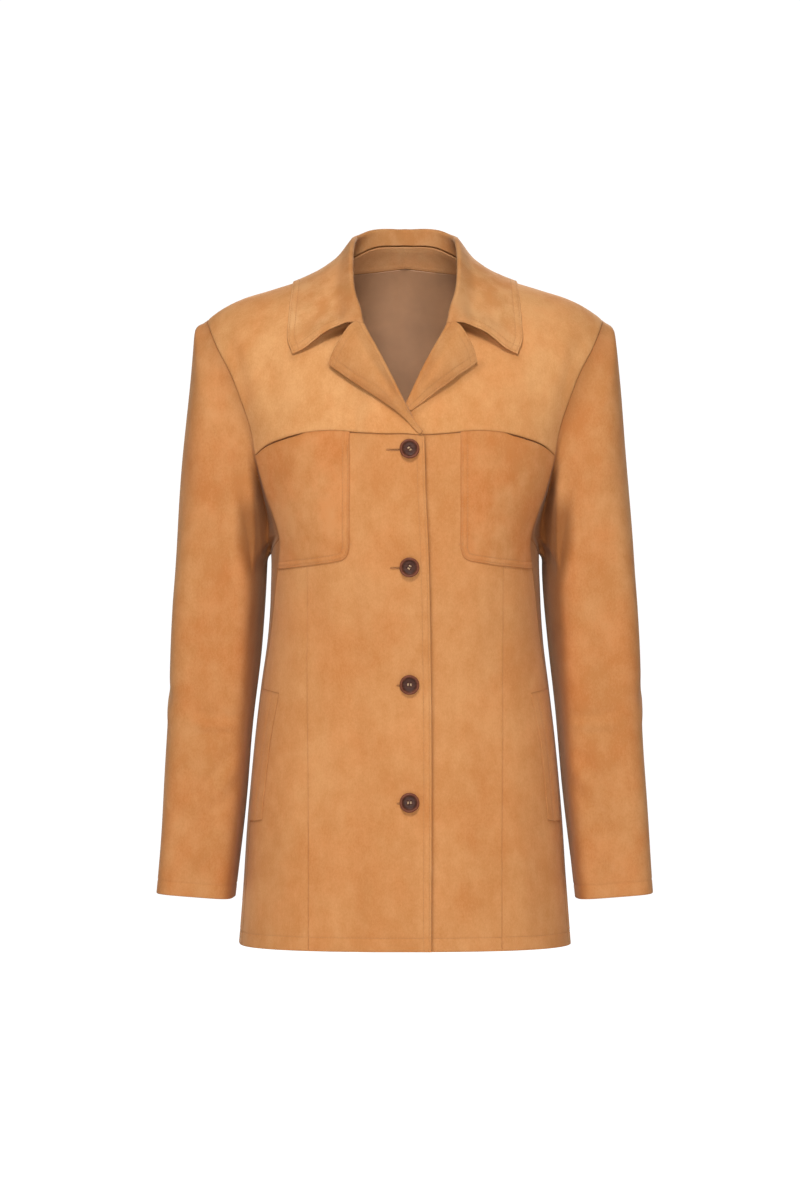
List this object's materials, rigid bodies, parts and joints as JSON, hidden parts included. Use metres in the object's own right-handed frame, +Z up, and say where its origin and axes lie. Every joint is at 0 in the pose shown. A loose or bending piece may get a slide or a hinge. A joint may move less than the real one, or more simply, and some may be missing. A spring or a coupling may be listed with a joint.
{
  "type": "women's single-breasted blazer",
  "caption": "Hip-length single-breasted blazer of napped cloth, with a wide notched collar, a front yoke, chest patch pockets and straight sleeves, filled out as worn.",
  "frame": {"origin": "centre of the neck base, level with the neck ends of the shoulder seams, where the wearer holds the garment up", "axes": "+Z up the wearer, +X to the wearer's left, -Y out of the garment's front"},
  "size_m": [0.517, 0.2593, 0.7532],
  "materials": {
    "cloth": "napped camel cloth with a suede look",
    "lining": "smooth brown lining",
    "button": "dark brown, polished rim"
  },
  "bodies": {
    "root": {"front_yoke_right": "cloth", "front_yoke_left": "cloth", "front_centre_right": "cloth", "front_centre_left": "cloth", "front_side_right": "cloth", "front_side_left": "cloth", "side_body_right": "cloth", "side_body_left": "cloth", "back": "cloth", "top_sleeve_right": "cloth", "top_sleeve_left": "cloth", "under_sleeve_right": "cloth", "under_sleeve_left": "cloth", "collar": "cloth", "lapel_right": "cloth", "lapel_left": "cloth", "neck_facing": "cloth", "back_lining": "lining", "chest_pocket_right": "cloth", "chest_pocket_left": "cloth", "pocket_welt_right": "cloth", "pocket_welt_left": "cloth", "button_1": "button", "button_2": "button", "button_3": "button", "button_4": "button"}
  },
  "joints": []
}
